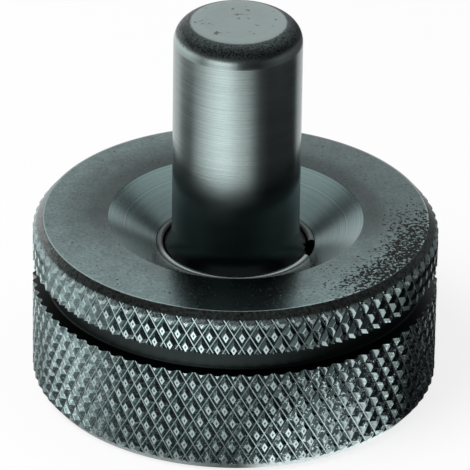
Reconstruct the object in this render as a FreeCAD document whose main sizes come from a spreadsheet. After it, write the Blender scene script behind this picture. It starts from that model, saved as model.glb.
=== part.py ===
import FreeCAD, Part
import Sketcher
import math
import os

# A swivelling thrust pad: a knurled steel pad with a ball socket, a pin whose ball end swivels in it,
# and a round-wire snap ring that holds the ball in.
# Origin: centre of the pad's clamping face, +Z up along the pin. Millimetres and degrees.

doc = FreeCAD.newDocument("thrust_pad")

# Driving sizes
DRIVING = {
    "pad_height": 22.2,
    "knurl_diameter": 50.8,
    "knurl_depth": 0.5,
    "knurl_count": 80,
    "knurl_angle": 30,
    "knurl_row_drop": 1.4,
    "rim_width": 1.25,
    "rim_drop": 1.5,
    "upper_band": 5.6,
    "groove_width": 2.9,
    "groove_depth": 1.8,
    "mouth_diameter": 32,
    "mouth_angle": 120,
    "socket_diameter": 19.4,
    "socket_lip_rise": 3.68,
    "ball_clearance": 0.1,
    "shoulder_relief": 0.75,
    "flare_width": 0.85,
    "flare_height": 2.2,
    "pin_stand": 27.3,
    "tip_rounding": 2.7,
    "wire_diameter": 1,
    "wire_clearance": 0.05,
    "ring_drop": 0.16,
    "ring_gap": 24,
    "ring_gap_direction": -10,
}

# Sizes that follow from them
FOLLOWING = {
    "crest_radius": "=knurl_diameter / 2",
    "root_radius": "=crest_radius - knurl_depth",
    "stock_radius": "=crest_radius + knurl_depth",
    "flat_radius": "=crest_radius - rim_width",
    "stock_bottom": "=(stock_radius - flat_radius) * rim_drop / rim_width",
    "stock_top": "=pad_height - stock_bottom",
    "groove_top": "=pad_height - upper_band",
    "groove_bottom": "=groove_top - groove_width",
    "groove_floor": "=crest_radius - groove_depth",
    "mouth_radius": "=mouth_diameter / 2",
    "socket_radius": "=socket_diameter / 2",
    "mouth_bottom": "=pad_height - (mouth_radius - socket_radius) / tan(mouth_angle / 2 * 1 deg)",
    "ball_radius": "=socket_radius - ball_clearance",
    "ball_level": "=mouth_bottom - socket_lip_rise",
    "ball_bottom": "=ball_level - ball_radius",
    "socket_bottom": "=ball_level - socket_radius",
    "shoulder_radius": "=ball_radius - shoulder_relief",
    "shoulder_level": "=ball_level + sqrt(ball_radius ^ 2 - shoulder_radius ^ 2)",
    "pin_radius": "=shoulder_radius - flare_width",
    "flare_top": "=shoulder_level + flare_height",
    "flare_rounding": "=(flare_width ^ 2 + flare_height ^ 2) / (2 * flare_width)",
    "pin_top": "=pad_height + pin_stand",
    "tip_start": "=pin_top - tip_rounding",
    "tip_radius": "=pin_radius - tip_rounding",
    "wire_radius": "=wire_diameter / 2",
    "wire_reach": "=ball_radius + wire_clearance + wire_radius",
    "ring_level": "=mouth_bottom - ring_drop",
    "ring_radius": "=sqrt(wire_reach ^ 2 - (ring_level - ball_level) ^ 2)",
    "ring_turn": "=ring_gap_direction + ring_gap / 2",
    "channel_radius": "=wire_radius + wire_clearance",
}

sheet = doc.addObject("Spreadsheet::Sheet", "sizes")
for row, (alias, content) in enumerate({**DRIVING, **FOLLOWING}.items(), start=1):
    sheet.set(f"A{row}", alias)
    sheet.set(f"B{row}", str(content))
    sheet.setAlias(f"B{row}", alias)
doc.recompute()


def size(alias):
    """The present value of a named size."""
    return float(getattr(sheet, alias))


def section_sketch(body, name):
    """An empty sketch on the body's XZ plane: its X is the radius and its Y is the height."""
    sketch = body.newObject("Sketcher::SketchObject", name)
    plane = next(item for item in body.Origin.OriginFeatures if item.Role == "XZ_Plane")
    sketch.AttachmentSupport = [(plane, "")]
    sketch.MapMode = "FlatFace"
    return sketch


def hold(sketch, kind, alias, *places):
    """Constrain places in a sketch to a named size."""
    index = sketch.addConstraint(Sketcher.Constraint(kind, *places, size(alias)))
    sketch.setExpression(f"Constraints[{index}]", f"sizes.{alias}")


def hold_point(sketch, geometry, end, radius, level):
    """Put a point at a named radius and level, or on the axis or the base line where one is None."""
    if radius is None:
        sketch.addConstraint(Sketcher.Constraint("PointOnObject", geometry, end, -2))
    else:
        hold(sketch, "DistanceX", radius, -1, 1, geometry, end)
    if level is None:
        sketch.addConstraint(Sketcher.Constraint("PointOnObject", geometry, end, -1))
    else:
        hold(sketch, "DistanceY", level, -1, 1, geometry, end)


def turned_section(body, name, corners):
    """A closed half section. Each corner is a radius, a level and the arc that leaves it, if any.

    An arc is a named radius and the side of its centre: 1 left of the way to the next corner, -1 right.
    """
    sketch = section_sketch(body, name)
    points = [
        FreeCAD.Vector(size(radius) if radius else 0, size(level) if level else 0, 0)
        for radius, level, _ in corners
    ]
    joints = []
    for index, (_, _, arc) in enumerate(corners):
        start = points[index]
        end = points[(index + 1) % len(points)]
        if arc is None:
            edge = sketch.addGeometry(Part.LineSegment(start, end), False)
            joints.append((edge, 1, 2))
            continue
        rounding, side = arc
        chord = end - start
        across = FreeCAD.Vector(-chord.y, chord.x, 0).normalize() * side
        centre_offset = math.sqrt(size(rounding) ** 2 - (chord.Length / 2) ** 2)
        centre = (start + end) / 2 + across * centre_offset
        middle = centre + ((start + end) / 2 - centre).normalize() * size(rounding)
        edge = sketch.addGeometry(Part.Arc(start, middle, end), False)
        hold(sketch, "Radius", rounding, edge)
        joints.append((edge, 1, 2) if side > 0 else (edge, 2, 1))
    for index, (radius, level, _) in enumerate(corners):
        edge, first, _ = joints[index]
        before, _, last = joints[index - 1]
        sketch.addConstraint(Sketcher.Constraint("Coincident", before, last, edge, first))
        hold_point(sketch, edge, first, radius, level)
    return sketch


def turn(body, kind, name, sketch):
    """Revolve a half section about the pin's axis, as added or removed material."""
    feature = body.newObject(f"PartDesign::{kind}", name)
    feature.Profile = sketch
    feature.ReferenceAxis = (sketch, ["V_Axis"])
    feature.Angle = 360
    sketch.Visibility = False
    doc.recompute()
    return feature


# Pad, as turned: rims, grip groove, conical mouth and ball socket. Its sides stand proud for the knurl.
pad_blank = doc.addObject("PartDesign::Body", "pad_blank")
pad_section = turned_section(
    pad_blank,
    "pad_section",
    [
        (None, None, None),
        ("flat_radius", None, None),
        ("stock_radius", "stock_bottom", None),
        ("stock_radius", "groove_bottom", None),
        ("groove_floor", "groove_bottom", None),
        ("groove_floor", "groove_top", None),
        ("stock_radius", "groove_top", None),
        ("stock_radius", "stock_top", None),
        ("flat_radius", "pad_height", None),
        ("mouth_radius", "pad_height", None),
        ("socket_radius", "mouth_bottom", None),
        ("socket_radius", "ball_level", ("socket_radius", -1)),
        (None, "socket_bottom", None),
    ],
)
turn(pad_blank, "Revolution", "pad_turned", pad_section)

# Channel at the socket's mouth, which the snap ring springs into
channel_section = section_sketch(pad_blank, "channel_section")
channel_centre = FreeCAD.Vector(size("ring_radius"), size("ring_level"), 0)
channel_circle = channel_section.addGeometry(
    Part.Circle(channel_centre, FreeCAD.Vector(0, 0, 1), size("channel_radius")), False
)
hold(channel_section, "Radius", "channel_radius", channel_circle)
hold_point(channel_section, channel_circle, 3, "ring_radius", "ring_level")
turned_volume = pad_blank.Shape.Volume
turn(pad_blank, "Groove", "ring_channel", channel_section)
if pad_blank.Shape.Volume >= turned_volume:
    raise RuntimeError("the ring channel cut nothing")


def facet(*corners):
    """One flat face between its corners."""
    return Part.Face(Part.makePolygon([*corners, corners[0]]))


def knurl_solid():
    """Everything inside a diamond knurl: pyramids between two crossing families of straight grooves.

    Rows of pyramids lie half a diamond apart in height, and every other row is turned by half a step.
    """
    crest = size("crest_radius")
    root = size("root_radius")
    count = round(size("knurl_count"))
    step = 2 * math.pi / count
    half_diamond = math.pi * crest / count / math.tan(math.radians(size("knurl_angle")))
    first_level = size("pad_height") - size("knurl_row_drop")
    rows_above = math.ceil(size("knurl_row_drop") / half_diamond)
    rows_below = math.ceil(first_level / half_diamond)

    def place(radius, angle, level):
        return FreeCAD.Vector(radius * math.cos(angle), radius * math.sin(angle), level)

    facets = []
    for row in range(-rows_above, rows_below + 1):
        level = first_level - row * half_diamond
        outline = []
        for column in range(count):
            angle = (column + row % 2 / 2) * step
            peak = place(crest, angle, level)
            left = place(root, angle - step / 2, level)
            right = place(root, angle + step / 2, level)
            outline += [left, peak]
            if row > -rows_above:
                above = place(root, angle, level + half_diamond)
                facets.append(facet(peak, right, above))
                facets.append(facet(peak, above, left))
            if row < rows_below:
                below = place(root, angle, level - half_diamond)
                facets.append(facet(peak, left, below))
                facets.append(facet(peak, below, right))
        if row in (-rows_above, rows_below):
            facets.append(facet(*outline))
    shell = Part.makeShell(facets)
    shell.sewShape()
    return Part.makeSolid(shell)


knurl_form = doc.addObject("Part::Feature", "knurl_form")
knurl_form.Shape = knurl_solid()
knurl_form.Placement = FreeCAD.Placement()

pad_body = doc.addObject("Part::Common", "pad_body")
pad_body.Base = pad_blank
pad_body.Tool = knurl_form

# Pin: ball end, shoulder, flare, plain shank and rounded tip, turned in one piece
thrust_pin = doc.addObject("PartDesign::Body", "thrust_pin")
pin_section = turned_section(
    thrust_pin,
    "pin_section",
    [
        (None, "ball_bottom", ("ball_radius", 1)),
        ("shoulder_radius", "shoulder_level", ("flare_rounding", -1)),
        ("pin_radius", "flare_top", None),
        ("pin_radius", "tip_start", ("tip_rounding", 1)),
        ("tip_radius", "pin_top", None),
        (None, "pin_top", None),
    ],
)
turn(thrust_pin, "Revolution", "pin_turned", pin_section)

# Snap ring: round spring wire, open on one side
snap_ring = doc.addObject("Part::Torus", "snap_ring")
snap_ring.setExpression("Radius1", "sizes.ring_radius")
snap_ring.setExpression("Radius2", "sizes.wire_radius")
snap_ring.setExpression("Angle3", "360 - sizes.ring_gap")
snap_ring.setExpression("Placement.Base.z", "sizes.ring_level")
snap_ring.setExpression("Placement.Rotation.Angle", "sizes.ring_turn")

doc.recompute()

# Check every object, then write each piece
for item in doc.Objects:
    if "Invalid" in item.State or "Error" in item.State:
        raise RuntimeError(f"{item.Name} did not recompute: {item.State}")

os.makedirs("parts", exist_ok=True)
for piece in (pad_body, thrust_pin, snap_ring):
    if piece.Shape.isNull() or not piece.Shape.isValid():
        raise RuntimeError(f"{piece.Label} has no valid shape")
    piece.Shape.exportStep(f"parts/{piece.Label}.step")
    print(f"{piece.Label}: {piece.Shape.Volume:.1f} mm3")
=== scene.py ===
import math

import bpy
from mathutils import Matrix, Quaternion, Vector


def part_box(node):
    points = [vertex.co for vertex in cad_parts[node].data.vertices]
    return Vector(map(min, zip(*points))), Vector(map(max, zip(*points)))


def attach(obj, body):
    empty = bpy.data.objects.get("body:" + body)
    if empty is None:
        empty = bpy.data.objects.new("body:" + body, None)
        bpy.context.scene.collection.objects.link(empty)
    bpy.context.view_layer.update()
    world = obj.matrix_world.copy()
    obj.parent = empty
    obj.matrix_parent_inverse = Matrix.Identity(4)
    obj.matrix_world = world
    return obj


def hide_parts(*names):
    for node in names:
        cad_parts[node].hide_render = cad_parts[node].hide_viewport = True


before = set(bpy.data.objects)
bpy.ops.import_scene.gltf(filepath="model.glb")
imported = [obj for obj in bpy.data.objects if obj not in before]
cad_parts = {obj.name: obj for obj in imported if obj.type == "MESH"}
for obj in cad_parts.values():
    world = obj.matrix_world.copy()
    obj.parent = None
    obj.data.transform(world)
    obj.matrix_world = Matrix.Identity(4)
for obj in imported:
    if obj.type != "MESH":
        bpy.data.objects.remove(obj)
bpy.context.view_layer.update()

# Knurled bar. The pad starts as a steel bar whose side is rolled between two wheels: they press two
# crossing families of straight grooves, 80 each way at 30 degrees, and leave a small flat with a
# dent on every diamond.
MM = 0.001
pad_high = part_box("pad_body")[1]
pad_height = pad_high.z
crest_radius = pad_high.x
knurl_depth = 0.5 * MM
knurl_count = 80
knurl_angle = math.radians(30)
knurl_row_drop = 1.4 * MM
knurl_line = 0.06 * MM
knurl_edge = 0.05 * MM
knurl_rim = 0.19 * MM
knurl_dent = 0.07 * MM
knurl_flank = 0.43 * MM
knurl_flat_drop = 0.025 * MM
knurl_weld = 0.001 * MM
bar_spare = 4 * MM
root_radius = crest_radius - knurl_depth
knurl_step = math.tau / knurl_count
half_diamond = math.pi * crest_radius / knurl_count / math.tan(knurl_angle)
knurl_top = pad_height - knurl_row_drop
knurl_pairs = math.ceil(pad_height / (2 * half_diamond)) + 1


def pick_corners(wanted):
    """Select the corners of the edited mesh that are wanted, each judged by its place in metres."""
    bpy.ops.object.mode_set(mode="OBJECT")
    mesh = bpy.context.object.data
    for group in (mesh.edges, mesh.polygons):
        group.foreach_set("select", [False] * len(group))
    for corner in mesh.vertices:
        corner.select = wanted(corner.co)
    bpy.ops.object.mode_set(mode="EDIT")
    bpy.ops.mesh.select_mode(type="VERT")


bpy.ops.object.select_all(action="DESELECT")
bpy.ops.mesh.primitive_circle_add(
    vertices=4,
    radius=half_diamond,
    fill_type="NGON",
    location=(0, -root_radius, knurl_top),
    rotation=(math.radians(90), 0, 0),
)
pad = bpy.context.object
pad.name = pad.data.name = "pad"
bpy.ops.object.transform_apply(location=True, rotation=True, scale=True)
bpy.ops.object.mode_set(mode="EDIT")
bpy.ops.mesh.select_all(action="SELECT")
side_corner = root_radius * math.sin(knurl_step / 2)
bpy.ops.transform.resize(
    value=(side_corner / half_diamond, 1, 1), center_override=(0, -root_radius, knurl_top)
)
pick_corners(lambda corner: abs(corner.x) > side_corner / 2)
bpy.ops.transform.translate(value=(0, root_radius * (1 - math.cos(knurl_step / 2)), 0))
bpy.ops.mesh.select_all(action="SELECT")
bpy.ops.mesh.select_mode(type="FACE")
for run, rise in (
    (knurl_line, 0),
    (knurl_flank, knurl_depth - knurl_edge - knurl_flat_drop),
    (knurl_edge, knurl_edge),
    (knurl_rim, 0),
    (knurl_dent, -knurl_dent),
):
    bpy.ops.mesh.inset(thickness=run, depth=rise, use_even_offset=True)
bpy.ops.mesh.select_all(action="SELECT")
bpy.ops.mesh.duplicate_move(TRANSFORM_OT_translate={"value": (0, 0, -half_diamond)})
bpy.ops.transform.rotate(value=knurl_step / 2, orient_axis="Z", center_override=(0, 0, 0))
bpy.ops.mesh.select_all(action="SELECT")
bpy.ops.transform.translate(value=(0, 0, 2 * half_diamond))
for _ in range(knurl_pairs):
    bpy.ops.mesh.duplicate_move(TRANSFORM_OT_translate={"value": (0, 0, -2 * half_diamond)})
bpy.ops.mesh.select_all(action="SELECT")
bpy.ops.mesh.spin(
    steps=knurl_count - 1,
    dupli=True,
    angle=math.tau - knurl_step,
    center=(0, 0, 0),
    axis=(0, 0, 1),
)
bpy.ops.mesh.select_all(action="SELECT")
bpy.ops.mesh.remove_doubles(threshold=knurl_weld)
bpy.ops.mesh.select_mode(type="EDGE")
for end in (pad_height + bar_spare, -bar_spare):
    bpy.ops.mesh.select_all(action="SELECT")
    bpy.ops.mesh.region_to_loop()
    bpy.ops.object.mode_set(mode="OBJECT")
    for edge in pad.data.edges:
        middle = sum(pad.data.vertices[corner].co.z for corner in edge.vertices) / 2
        edge.select = edge.select and (middle > pad_height / 2) == (end > 0)
    bpy.ops.object.mode_set(mode="EDIT")
    bpy.ops.mesh.extrude_region_move(TRANSFORM_OT_translate={"value": (0, 0, 0)})
    bpy.ops.transform.resize(value=(1, 1, 0), center_override=(0, 0, end))
    bpy.ops.mesh.edge_face_add()
bpy.ops.mesh.select_all(action="SELECT")
bpy.ops.mesh.normals_make_consistent(inside=False)
bpy.ops.object.mode_set(mode="OBJECT")

# Turned blank. The bar is faced and turned: two rims, a grip groove, a mouth at 120 degrees, a ball
# socket and the snap ring's channel. The part of it that lies inside the knurled bar is the pad.
rim_width = 1.25 * MM
rim_drop = 1.5 * MM
edge_break = 0.22 * MM
upper_band = 5.6 * MM
groove_width = 2.9 * MM
groove_depth = 1.8 * MM
groove_corner = 0.25 * MM
mouth_radius = 16 * MM
mouth_slope = math.radians(30)
mouth_break = 0.15 * MM
socket_radius = 9.7 * MM
socket_lip_rise = 3.68 * MM
wire_clearance = 0.05 * MM
ring_low, ring_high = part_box("snap_ring")
ring_level = (ring_low.z + ring_high.z) / 2
wire_radius = (ring_high.z - ring_low.z) / 2
ring_radius = -ring_low.x - wire_radius
channel_radius = wire_radius + wire_clearance
turning_steps = 240
corner_steps = 4
mouth_steps = 3
channel_steps = 10
socket_steps = 24
turned_weld = 0.002 * MM
smooth_below = math.radians(25)

flat_radius = crest_radius - rim_width
stock_radius = crest_radius + knurl_depth
rim_angle = math.degrees(math.atan2(rim_drop, rim_width))
stock_bottom = (stock_radius - flat_radius) * rim_drop / rim_width
groove_top = pad_height - upper_band
groove_bottom = groove_top - groove_width
groove_floor = crest_radius - groove_depth
groove_inset = groove_floor + groove_corner
lip_level = pad_height - (mouth_radius - socket_radius) * math.tan(mouth_slope)
ball_level = lip_level - socket_lip_rise
break_radius = flat_radius - math.tan(math.radians(rim_angle / 2)) * edge_break
mouth_break_radius = mouth_radius + math.tan(mouth_slope / 2) * mouth_break
lip_from_channel = Vector((socket_radius - ring_radius, lip_level - ring_level))
mouth_line = Vector((math.cos(mouth_slope), math.sin(mouth_slope)))
along = lip_from_channel.dot(mouth_line)
reach = -along + math.sqrt(along**2 - lip_from_channel.length_squared + channel_radius**2)
channel_top = lip_from_channel + mouth_line * reach
channel_start = math.degrees(math.atan2(channel_top.y, channel_top.x))
channel_end = -math.degrees(math.acos((socket_radius - ring_radius) / channel_radius))


def arc(radius, level, rounding, start, end, steps):
    """Points (radius, level) along an arc about such a point, its angles in degrees."""
    angles = [math.radians(start + (end - start) * step / steps) for step in range(steps + 1)]
    return [(radius + rounding * math.cos(a), level + rounding * math.sin(a)) for a in angles]


mouth_end = 90 + math.degrees(mouth_slope)
section = [
    (0, 0),
    *arc(break_radius, edge_break, edge_break, -90, -90 + rim_angle, corner_steps),
    (stock_radius, stock_bottom),
    (stock_radius, groove_bottom),
    *arc(groove_inset, groove_bottom + groove_corner, groove_corner, -90, -180, corner_steps),
    *arc(groove_inset, groove_top - groove_corner, groove_corner, 180, 90, corner_steps),
    (stock_radius, groove_top),
    (stock_radius, pad_height - stock_bottom),
    *arc(break_radius, pad_height - edge_break, edge_break, 90 - rim_angle, 90, corner_steps),
    *arc(mouth_break_radius, pad_height - mouth_break, mouth_break, 90, mouth_end, mouth_steps),
    *arc(ring_radius, ring_level, channel_radius, channel_start, channel_end, channel_steps),
    *arc(0, ball_level, socket_radius, 0, -90, socket_steps),
]
bpy.ops.object.select_all(action="DESELECT")
bpy.ops.mesh.primitive_plane_add(size=1 * MM, location=(0, 0, 0))
blank = bpy.context.object
blank.name = blank.data.name = "pad_blank"
bpy.ops.object.mode_set(mode="EDIT")
bpy.ops.mesh.select_mode(type="VERT")
bpy.ops.mesh.select_all(action="SELECT")
bpy.ops.mesh.merge(type="CENTER")
bpy.ops.mesh.select_all(action="SELECT")
bpy.ops.transform.translate(value=(section[0][0], 0, section[0][1]))
for before, after in zip(section, section[1:]):
    step = (after[0] - before[0], 0, after[1] - before[1])
    bpy.ops.mesh.extrude_region_move(TRANSFORM_OT_translate={"value": step})
bpy.ops.mesh.select_all(action="SELECT")
bpy.ops.mesh.spin(steps=turning_steps, angle=math.tau, center=(0, 0, 0), axis=(0, 0, 1))
bpy.ops.mesh.select_all(action="SELECT")
bpy.ops.mesh.remove_doubles(threshold=turned_weld)
bpy.ops.mesh.normals_make_consistent(inside=False)
bpy.ops.object.mode_set(mode="OBJECT")

bpy.ops.object.select_all(action="DESELECT")
bpy.context.view_layer.objects.active = pad
pad.select_set(True)
inside = pad.modifiers.new("turned", "BOOLEAN")
inside.operation = "INTERSECT"
inside.object = blank
inside.solver = "MANIFOLD"
bpy.ops.object.modifier_apply(modifier=inside.name)
bpy.data.objects.remove(blank)
bpy.ops.object.shade_smooth_by_angle(angle=smooth_below)

# Pad finish: black oxide on turned steel. The lathe's rings show on the flat and in the mouth. The
# oxide is worn grey on the knurl's flats and upper edge and on the rim. On the right one facet of
# each diamond is painted bright as a painted highlight, and painted shade darkens two other facets,
# the knurl and its flats there; the flat and the mouth carry painted shade too. The flat is pitted
# on the right.
oxide_dark = (0.014, 0.019, 0.020, 1)
oxide_light = (0.235, 0.328, 0.328, 1)
knurl_dark = (0.022, 0.031, 0.032, 1)
knurl_light = (0.175, 0.240, 0.240, 1)
groove_oxide = (0.022, 0.029, 0.028, 1)
rim_oxide = (0.250, 0.290, 0.275, 1)
pit_black = (0.004, 0.005, 0.005, 1)
pad_steel = (0.375, 0.465, 0.465, 1)
grain_scale = 2600.0
mottle_scale = 420.0
lathe_scale = 5200.0
pit_scale = 2400.0
finish_relief = 0.02 * MM
hair = 0.01 * MM
face_of_top = (pad_height - 3 * hair, pad_height - hair)
rim_line = (3 * hair, 7 * hair)
upper_rim = (pad_height - 1.05 * MM, pad_height - 0.80 * MM)
bright_rim = (pad_height - 1.0 * MM, pad_height - 0.8 * MM)
lower_rim = (2 * MM, 3 * MM)
knurled_skin = (root_radius - 0.3 * MM, root_radius - 0.1 * MM)
groove_foot = (groove_bottom - 3 * hair, groove_bottom - 2 * hair)
groove_roof = (groove_top + 2 * hair, groove_top + 3 * hair)
groove_cut = (20 * MM, 21 * MM)
mouth_edge = (mouth_radius - 0.1 * MM, mouth_radius)
mouth_shading = (11 * MM, mouth_radius)
flat_shading = (mouth_radius, flat_radius - 1.5 * MM)
flat_inner = (17.5 * MM, 19.5 * MM)
flat_outer = (20.3 * MM, 23.2 * MM)
flat_edge = (flat_radius - 0.32 * MM, flat_radius - 0.12 * MM)
to_each_side = (55, 95)
right_rear_start = (80, 100)
right_rear_end = (165, 178)
pits_at = 66
pits_spread = (12, 46)
pits_band = (17 * MM, 22.5 * MM)
pit_level = (0.665, 0.70)
line_edge = (0.03, 0.06)
flat_of_diamond = (0.27, 0.31)
dent_of_diamond = (0.425, 0.455)
facet_edge = (-0.03, 0.03)
crown_skirt = (0.08, 0.16)
crown_rise = (knurl_top - 0.45 * half_diamond, knurl_top - 0.25 * half_diamond)
burr_reach = (groove_top + 0.1 * MM, groove_top + 0.7 * MM)
burr_level = (0.55, 0.62)
lines_fade = (knurl_top, knurl_top + 0.3 * half_diamond)
lines_end = (0, 9 * MM)
flank_dims = (-18 * MM, 7 * MM)
flats_dim = (5 * MM, 14 * MM)
shaded_facet_from = (2 * MM, 13 * MM)
right_facets = (4 * MM, 13 * MM)
far_right = (16 * MM, 20 * MM)


class Value:
    """A socket in a material's node tree. Arithmetic on it adds Math nodes to that tree."""

    def __init__(self, tree, socket=None):
        self.tree = tree
        self.socket = socket

    def node(self, kind, settings, inputs, output=0):
        """A new node: first its settings, or a ramp's stops, then its sockets' values or links."""
        made = self.tree.nodes.new(kind)
        for name, setting in settings.items():
            if name == "stops":
                ramp = made.color_ramp.elements
                while len(ramp) < len(setting):
                    ramp.new(1)
                for element, (position, grey) in zip(ramp, setting):
                    element.position = position
                    element.color = (grey, grey, grey, 1)
            else:
                setattr(made, name, setting)
        for name, value in inputs.items():
            if isinstance(value, Value):
                self.tree.links.new(value.socket, made.inputs[name])
            else:
                made.inputs[name].default_value = value
        return Value(self.tree, made.outputs[output] if made.outputs else None)

    def maths(self, operation, *others):
        """A Math node on this and the others."""
        inputs = dict(enumerate((self, *others)))
        return self.node("ShaderNodeMath", {"operation": operation}, inputs)

    def __add__(self, other):
        return self.maths("ADD", other)

    def __radd__(self, other):
        return self.maths("ADD", other)

    def __sub__(self, other):
        return self.maths("SUBTRACT", other)

    def __rsub__(self, other):
        return self.node("ShaderNodeMath", {"operation": "SUBTRACT"}, {0: other, 1: self})

    def __mul__(self, other):
        return self.maths("MULTIPLY", other)

    def __rmul__(self, other):
        return self.maths("MULTIPLY", other)

    def __truediv__(self, other):
        return self.maths("DIVIDE", other)

    def __abs__(self):
        return self.maths("ABSOLUTE")

    def most(self, *others):
        """The largest of this and the others."""
        largest = self
        for other in others:
            largest = largest.maths("MAXIMUM", other)
        return largest

    def ramp(self, *stops):
        """A run of greys along this, each stop a position and a grey."""
        return self.node("ShaderNodeValToRGB", {"stops": stops}, {"Fac": self})

    def between(self, low, high, to_low=0.0, to_high=1.0):
        """Smoothly from to_low at low to to_high at high."""
        ends = {"From Min": low, "From Max": high, "To Min": to_low, "To Max": to_high}
        smooth = {"interpolation_type": "SMOOTHSTEP"}
        return self.node("ShaderNodeMapRange", smooth, {"Value": self, **ends})

    def choose(self, first, second):
        """The first number where this is 0 and the second where it is 1."""
        return self.node("ShaderNodeMix", {}, {"Factor": self, 2: first, 3: second})

    def mix(self, first, second):
        """The first colour where this is 0 and the second where it is 1."""
        inputs = {"Factor": self, 6: first, 7: second}
        return self.node("ShaderNodeMix", {"data_type": "RGBA"}, inputs, output=2)

    def bump(self, strength):
        """The surface's normal with this as its fine relief."""
        inputs = {"Strength": strength, "Distance": finish_relief, "Height": self}
        return self.node("ShaderNodeBump", {}, inputs)


def place(tree):
    """The piece's own coordinates: the point, and its x, y and z."""
    point = Value(tree).node("ShaderNodeTexCoord", {}, {}, output="Object")
    axes = [point.node("ShaderNodeSeparateXYZ", {}, {0: point}, output=axis) for axis in range(3)]
    return point, *axes


def noise(point, scale, detail=3.0, stretch=(1, 1, 1), roughness=0.5):
    """Noise with features of about 1 / scale metres, finer along an axis where stretch is more."""
    mapped = point.node("ShaderNodeMapping", {}, {"Vector": point, "Scale": stretch})
    inputs = {"Vector": mapped, "Scale": scale, "Detail": detail, "Roughness": roughness}
    return mapped.node("ShaderNodeTexNoise", {}, inputs)


def new_material(name):
    """An empty material and its node tree."""
    material = bpy.data.materials.new(name)
    material.use_nodes = True
    material.node_tree.nodes.clear()
    return material, material.node_tree


def metal(tree, inputs):
    """Finish a material as bare metal with these shader inputs."""
    shader = Value(tree).node("ShaderNodeBsdfPrincipled", {}, {"Metallic": 1.0, **inputs})
    shader.node("ShaderNodeOutputMaterial", {}, {"Surface": shader})


pad_material, tree = new_material("pad_steel")
point, x, y, z = place(tree)
radius = (x * x + y * y).maths("SQRT")
side = x.maths("ARCTAN2", y * -1) / math.radians(1)
grain = noise(point, grain_scale, roughness=0.6)
mottle = noise(point, mottle_scale)
one_way = {"noise_dimensions": "1D"}
rings = radius.node("ShaderNodeTexNoise", one_way, {"W": radius, "Scale": lathe_scale})

# The faces of the pad
on_top = z.between(*face_of_top)
rim_slope = rim_width / rim_drop
from_rim = abs(radius - flat_radius - (pad_height - z) * rim_slope)
from_foot = abs(radius - flat_radius - z * rim_slope)
on_rim = from_rim.maths("MINIMUM", from_foot).between(*rim_line, 1, 0) * (1 - on_top)
on_rim = on_rim * z.between(*upper_rim).most(z.between(*lower_rim, 1, 0))
on_side = radius.between(*knurled_skin) * (1 - on_rim)
in_mouth = radius.between(*mouth_edge, 1, 0)
in_groove = z.between(*groove_foot) * z.between(*groove_roof, 1, 0) * radius.between(*groove_cut)

# The flat and the mouth: lathe rings and mottled oxide, with painted shade that makes the flat
# darker towards the mouth, to the sides and at the right rear, and the mouth darker deeper in
outward = radius.between(*flat_shading, 0.40, 0.62)
dim = abs(side).between(*to_each_side, 0, 0.5) * radius.between(*flat_outer, 1, 0.5)
right_rear = side.between(*right_rear_start, 0, 0.25) * side.between(*right_rear_end, 1, 0)
dim = dim + right_rear * radius.between(*flat_outer)
dim = dim + abs(side).between(*to_each_side, 0, 0.20) * radius.between(*flat_inner, 1, 0)
flat_shade = outward * (1 - dim) * (mottle * 0.7 + 0.65) * (grain * 1.6 + 0.20)
mouth_shade = radius.between(*mouth_shading, 0.50, 0.72) * (rings * 0.6 + 0.70)
turned_shade = in_mouth.choose(flat_shade, mouth_shade)
pitted = abs(side - pits_at).between(*pits_spread, 1, 0) * radius.between(*pits_band)
pits = (noise(point, pit_scale, 2.5, roughness=0.65) + pitted * 0.24).between(*pit_level)
pits = pits * on_top
edge_wear = radius.between(*flat_edge) * on_top

# The knurl: angle and climb are counted in diamonds, and from_line is how far a point is from the
# nearest groove, where 0.5 is the middle of a diamond
angle = y.maths("ARCTAN2", x) / knurl_step
climb = (z - knurl_top) / (2 * half_diamond)
falling = abs((angle + climb).maths("FRACT") - 0.5)
rising = abs((angle - climb).maths("FRACT") - 0.5)
from_line = falling.maths("MINIMUM", rising)
faint = z.between(*lines_fade, 0.28, 0.05) * x.between(*lines_end, 1, 0)
groove_line = falling.between(*line_edge, 0.60, 0).most(rising.between(*line_edge, 1, 0) * faint)
dent = from_line.between(*dent_of_diamond, 1, 0.15)
land = from_line.between(*flat_of_diamond) * dent * (mottle * 0.9 + 0.45)
# painted shade: the worn flats are painted darker towards the right
land = land * x.between(*flats_dim, 1, 0.20)
burr = z.between(*burr_reach, 1, 0) * grain.between(*burr_level)
crown = z.between(*crown_rise) * on_side * (1 - on_top) * from_line.between(*crown_skirt)
crown = crown * (grain * 4.0 - 1.0)

# The knurl's facets: on the right two of the four on a diamond are painted darker as painted shade
# and one is painted bright as a painted highlight, found by how far a point lies from the diamond's
# middle to the upper and to the lower right
cloud = mottle * 0.8 + 0.6
# painted shade: the flanks are painted lighter on the left and darker on the right
flank_shade = (grain * 1.3 - 0.15) * cloud * x.between(*flank_dims, 1.50, 0.42)
upper_right = (angle + climb + 0.5).maths("FRACT") - 0.5
lower_right = (angle - climb + 0.5).maths("FRACT") - 0.5
# painted shade: on the right, two facets of each diamond are painted darker
shaded_facet = (upper_right - abs(lower_right)).between(*facet_edge)
shaded_facet = shaded_facet * x.between(*shaded_facet_from, 0, 0.85)
second_shaded_facet = (lower_right * -1 - abs(upper_right)).between(*facet_edge)
second_shaded_facet = second_shaded_facet * x.between(*right_facets, 0, 0.90)
flank_shade = flank_shade * (1 - shaded_facet) * (1 - second_shaded_facet)
# painted highlight: on the right, one facet of each diamond is painted bright
rubbing_and_highlight = (upper_right * -1 - abs(lower_right)).between(*facet_edge)
rubbing_and_highlight = rubbing_and_highlight * x.between(*right_facets, 0, 0.42) * x.between(*far_right, 1, 0.25)
wear_and_highlight = groove_line.most(land, burr * 0.8, crown, rubbing_and_highlight * cloud * (1 - on_top))

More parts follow.
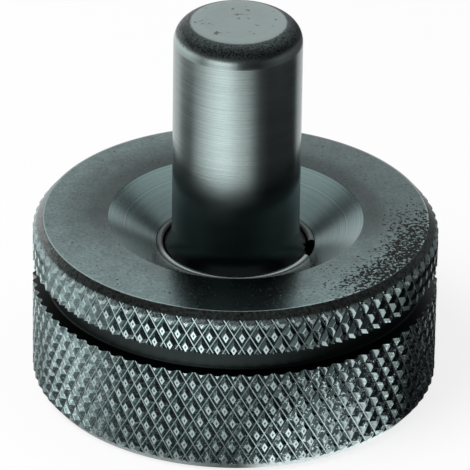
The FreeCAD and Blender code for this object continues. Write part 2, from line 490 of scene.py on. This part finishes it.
colour = turned_shade.mix(oxide_dark, oxide_light)
colour = (edge_wear * 0.5).mix(colour, pad_steel)
colour = pits.mix(colour, pit_black)
rim_wear = z.between(*bright_rim, 1, 0) * grain
rim_colour = (grain * 1.6 - 0.40).mix(oxide_dark, rim_oxide)
colour = (on_rim * (1 - on_top)).mix(colour, rim_wear.mix(rim_colour, pad_steel))
colour = on_side.mix(colour, wear_and_highlight.mix(flank_shade.mix(knurl_dark, knurl_light), pad_steel))
colour = in_groove.mix(colour, groove_oxide)
rough = (grain * 0.12 + 0.15) + pits * 0.3 + in_groove * 0.2 + on_rim * 0.12 + crown * 0.25
height = rings * (1 - on_side) * 0.8 + grain * (on_side * 1.6 + 0.5) - pits * 2
metal(tree, {"Base Color": colour, "Roughness": rough, "Normal": height.bump(0.30)})
pad.data.materials.clear()
pad.data.materials.append(pad_material)
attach(pad, "pad")
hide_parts("pad_body")

# Pin: turned from bar with its ball end, flare and rounded tip in one piece, ground on the shank
# and blackened. The ground shank is ringed with fine scratches, its foot is painted darker as
# painted shade, its end face is painted lighter towards its edge as a painted highlight, and the
# tip's rounding is left dull.
pin_dark = (0.020, 0.023, 0.024, 1)
pin_light = (0.245, 0.302, 0.296, 1)
tip_dull = (0.125, 0.155, 0.155, 1)
scratch_scale = 900.0
rub_scale = 300.0
pin_grain_scale = 4200.0
spot_scale = 900.0
tip_from = 48.0 * MM
tip_face = 5.9 * MM
pin_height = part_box("thrust_pin")[1].z
end_face = (pin_height - 2 * hair, pin_height - hair)
end_middle = (4.3 * MM, 4.9 * MM)
shank_end = (tip_from - 0.8 * MM, tip_from)
dull_from = (tip_from - 0.3 * MM, tip_from + 0.2 * MM)
dull_outside = (tip_face - 0.1 * MM, tip_face + 0.2 * MM)
dull_grain = (0.35, 0.65)
spot_level = (0.66, 0.70)
foot_black = (25 * MM, 31.5 * MM)
pin_material, tree = new_material("pin_steel")
point, x, y, z = place(tree)
radius = (x * x + y * y).maths("SQRT")
scratches = noise(point, scratch_scale, 4.0, (0.12, 0.12, 9.5), roughness=0.65)
rubbing_and_highlight = noise(point, rub_scale, stretch=(0.5, 0.5, 2.0))
grain = noise(point, pin_grain_scale, roughness=0.7)
on_shank = z.between(*shank_end, 1, 0)
dull = (z + (grain - 0.5) * 1.2 * MM).between(*dull_from)
dull = dull * (radius + (grain - 0.5) * 0.6 * MM).between(*dull_outside)
# painted shade: the foot of the pin is painted darker
painted_foot_shade = z.between(*foot_black, 0.21, 1)
shank_shade = (scratches * 0.7 + grain * 0.2 + 0.38) * (rubbing_and_highlight * 0.3 + 0.80) * painted_foot_shade
# painted highlight: the end face is painted lighter towards its edge
end_ring = radius.between(*end_middle, 0.95, 1.35)
end_shade = (grain * 0.5 + 0.75) * (rubbing_and_highlight * 0.6 + 0.70) * end_ring
spots = noise(point, spot_scale, 2.0, roughness=0.6).between(*spot_level)
spots = spots * z.between(*end_face)
colour = on_shank.choose(end_shade, shank_shade).mix(pin_dark, pin_light)
colour = dull.mix(colour, grain.between(*dull_grain).mix(pin_dark, tip_dull))
colour = (spots * 0.7).mix(colour, pin_dark)
rough = dull * 0.22 + rubbing_and_highlight * 0.10 + 0.17
height = scratches * on_shank * 0.65 + grain * (1 - on_shank) * 0.8 - spots
metal(tree, {"Base Color": colour, "Roughness": rough, "Normal": height.bump(0.35)})
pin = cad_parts["thrust_pin"]
pin.data.materials.clear()
pin.data.materials.append(pin_material)

# Snap ring: an open ring of drawn round spring wire, bright in front and painted dark at the rear
# as painted shade. It is sprung into its channel in the pad, where it keeps the pin's ball in the
# socket.
ring_steel = (0.39, 0.45, 0.45, 1)
ring_rear_shade = (0.07, 0.08, 0.08, 1)
wire_scale = 1500.0
ring_rear = (-5.5 * MM, -1.5 * MM)
ring_material, tree = new_material("ring_steel")
point, _, y, _ = place(tree)
rough = noise(point, wire_scale) * 0.2 + 0.18
# painted shade: the ring's rear is painted dark
metal(tree, {"Base Color": y.between(*ring_rear).mix(ring_steel, ring_rear_shade), "Roughness": rough})
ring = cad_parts["snap_ring"]
ring.data.materials.clear()
ring.data.materials.append(ring_material)

# Studio: a white floor that runs into a white background, under one large soft lamp on the left.
# Both are pure white to the eye, in the metal too, and light the object less than that.
white = (1, 1, 1, 1)
paper_white = (0.9, 0.9, 0.9, 1)
floor_size = 8.0
floor_glow = 0.8
room_light = 0.5
lamp_size = 0.5
lamp_power = 5.0
lamp_place = (-0.35, -0.25, 0.7)


def looked_at(tree):
    """1 for rays that look at a thing, straight, in metal or through glass, and 0 for the rest."""
    camera, glossy, clear = (
        Value(tree).node("ShaderNodeLightPath", {}, {}, output=kind)
        for kind in ("Is Camera Ray", "Is Glossy Ray", "Is Transmission Ray")
    )
    return camera.most(glossy, clear)


bpy.ops.object.select_all(action="DESELECT")
bpy.ops.mesh.primitive_plane_add(size=floor_size)
floor = bpy.context.object
floor.name = "floor"
floor_material, tree = new_material("floor_white")
seen = looked_at(tree)
paper = seen.node("ShaderNodeBsdfDiffuse", {}, {"Color": paper_white})
glow = seen.node("ShaderNodeEmission", {}, {"Color": white, "Strength": 1.0})
both = seen.node("ShaderNodeMixShader", {}, {0: seen * floor_glow, 1: paper, 2: glow})
both.node("ShaderNodeOutputMaterial", {}, {"Surface": both})
floor.data.materials.append(floor_material)

world = bpy.data.worlds.new("studio")
bpy.context.scene.world = world
world.use_nodes = True
tree = world.node_tree
tree.nodes.clear()
strength = looked_at(tree) * (1 - room_light) + room_light
light = strength.node("ShaderNodeBackground", {}, {"Color": white, "Strength": strength})
light.node("ShaderNodeOutputWorld", {}, {"Surface": light})

lamp = bpy.data.objects.new("lamp", bpy.data.lights.new("lamp", "AREA"))
bpy.context.scene.collection.objects.link(lamp)
lamp.data.shape = "DISK"
lamp.data.size = lamp_size
lamp.data.energy = lamp_power
lamp.location = lamp_place
lamp.rotation_euler = (-lamp.location).to_track_quat("-Z", "Y").to_euler()
lamp.visible_glossy = False

# Light tent: a round of cloth and cards over a card on the table, white at the front left and dark
# on the right and over the camera, with a bright card by the pad's foot. It only mirrors in the
# metal: no other ray meets it.
tent_radius = 1.5
tent_light = 2.9
tent_lift = 0.05 * MM
wall_start = (0.01, 0.3)
sky_start = (12, 18)
sky_sides = (0.45, 0.80)
foot_shadow = (27 * MM, 38 * MM)
near_end = (44 * MM, 60 * MM)
far_end = (93 * MM, 118 * MM)
card_at = 30
card_spread = (18, 30)
card_end = (34 * MM, 42 * MM)
strips_at = 146
strip_edge = (3.5, 7)
bpy.ops.object.select_all(action="DESELECT")
bpy.ops.mesh.primitive_uv_sphere_add(segments=48, ring_count=24, radius=tent_radius)
tent = bpy.context.object
tent.name = "tent"
pick_corners(lambda corner: corner.z < 0)
bpy.ops.transform.resize(value=(1, 1, 0), center_override=(0, 0, 0))
bpy.ops.mesh.select_all(action="SELECT")
bpy.ops.transform.translate(value=(0, 0, tent_lift))
bpy.ops.object.mode_set(mode="OBJECT")
tent_material, tree = new_material("tent_cloth")
_, x, y, z = place(tree)
away = (x * x + y * y).maths("SQRT")
length = (away * away + z * z).maths("SQRT")
rise = (z / length).maths("ARCSINE") / math.radians(1)
turn = x.maths("ARCTAN2", y * -1) / math.tau + 0.5
bearing = (turn - 0.5) * 360
over = z.maths("ARCTAN2", y) / math.pi


def round_the_object(*stops):
    """Cloth and cards round the object, each stop in degrees to the right of the front."""
    return turn.ramp(*[(degrees / 360 + 0.5, grey) for degrees, grey in stops])


far_table = round_the_object(
    (-180, 0.25), (-164, 0.30), (-150, 0.36), (-125, 0.36), (-113, 0.17), (-100, 0.08), (-86, 0.08),
    (-69, 0.42), (-57, 0.65), (-35, 0.95), (-24, 1.0), (-14, 0.98), (-3, 0.80), (17, 0.49),
    (28, 0.22), (38, 0.06), (55, 0.02), (120, 0.02), (132, 0.28), (160, 0.34), (180, 0.25),
)
near_table = round_the_object(
    (-180, 0.80), (-150, 0.75), (-130, 0.70), (-110, 0.50), (-95, 0.30), (-70, 0.42), (14, 0.32),
    (34, 0.12), (52, 0.05), (90, 0.05), (106, 0.24), (128, 0.32), (158, 0.85), (180, 0.80),
)
horizon = round_the_object(
    (-180, 0.28), (-150, 0.42), (-125, 0.50), (-95, 0.50), (-80, 0.42), (-62, 0.16), (-50, 0.50),
    (-30, 0.85), (-14, 0.70), (-4, 0.28), (6, 0.03), (34, 0.015), (75, 0.08), (110, 0.06),
    (162, 0.05), (172, 0.25), (180, 0.28),
)
sky = over.ramp(
    (0, 0.34), (0.33, 0.36), (0.42, 0.42), (0.47, 0.26), (0.51, 0.15), (0.56, 0.04), (1.0, 0.04)
)
sideways = (abs(x) / length).between(*sky_sides, 1, 0.08)
strips = abs(abs(bearing) - strips_at).between(*strip_edge, 0.1, 1)
above = rise.between(*sky_start)
wall = horizon * (1 - above) + sky * sideways * strips * above
near = away.between(*near_end, 1, 0)
far = away.between(*far_end)
table = near_table * near + (horizon * far + far_table * (1 - far)) * (1 - near)
table = table * away.between(*foot_shadow, 0.12, 1)
by_the_foot = abs(bearing - card_at).between(*card_spread, 0.95, 0)
table = table.most(by_the_foot * away.between(*card_end, 1, 0))
on_table = rise.between(*wall_start, 1, 0)
light = (table * on_table + wall * (1 - on_table)) * tent_light
glow = light.node("ShaderNodeEmission", {}, {"Color": white, "Strength": light})
glow.node("ShaderNodeOutputMaterial", {}, {"Surface": glow})
tent.data.materials.append(tent_material)
for ray in ("camera", "diffuse", "shadow", "transmission", "volume_scatter"):
    setattr(tent, "visible_" + ray, False)

# Camera: the photo's own angle, from well back, with the small roll that the photo has.
camera_elevation = math.radians(28.567)
camera_distance = 0.8415
camera_roll = math.radians(0.833)
camera_aim = Vector((-0.06, -1.10, 20.17)) * MM
camera = bpy.data.objects.new("camera", bpy.data.cameras.new("camera"))
bpy.context.scene.collection.objects.link(camera)
camera.data.sensor_width = 36
camera.data.lens = 516
camera.data.clip_start = 0.1
camera.data.clip_end = 20
camera_back = -math.cos(camera_elevation) * camera_distance
camera_height = pad_height + math.sin(camera_elevation) * camera_distance
camera.location = Vector((0, camera_back, camera_height))
looking = (camera_aim - camera.location).to_track_quat("-Z", "Y")
camera.rotation_euler = (looking @ Quaternion((0, 0, 1), camera_roll)).to_euler()
bpy.context.scene.camera = camera

bpy.context.scene.view_settings.view_transform = "Standard"
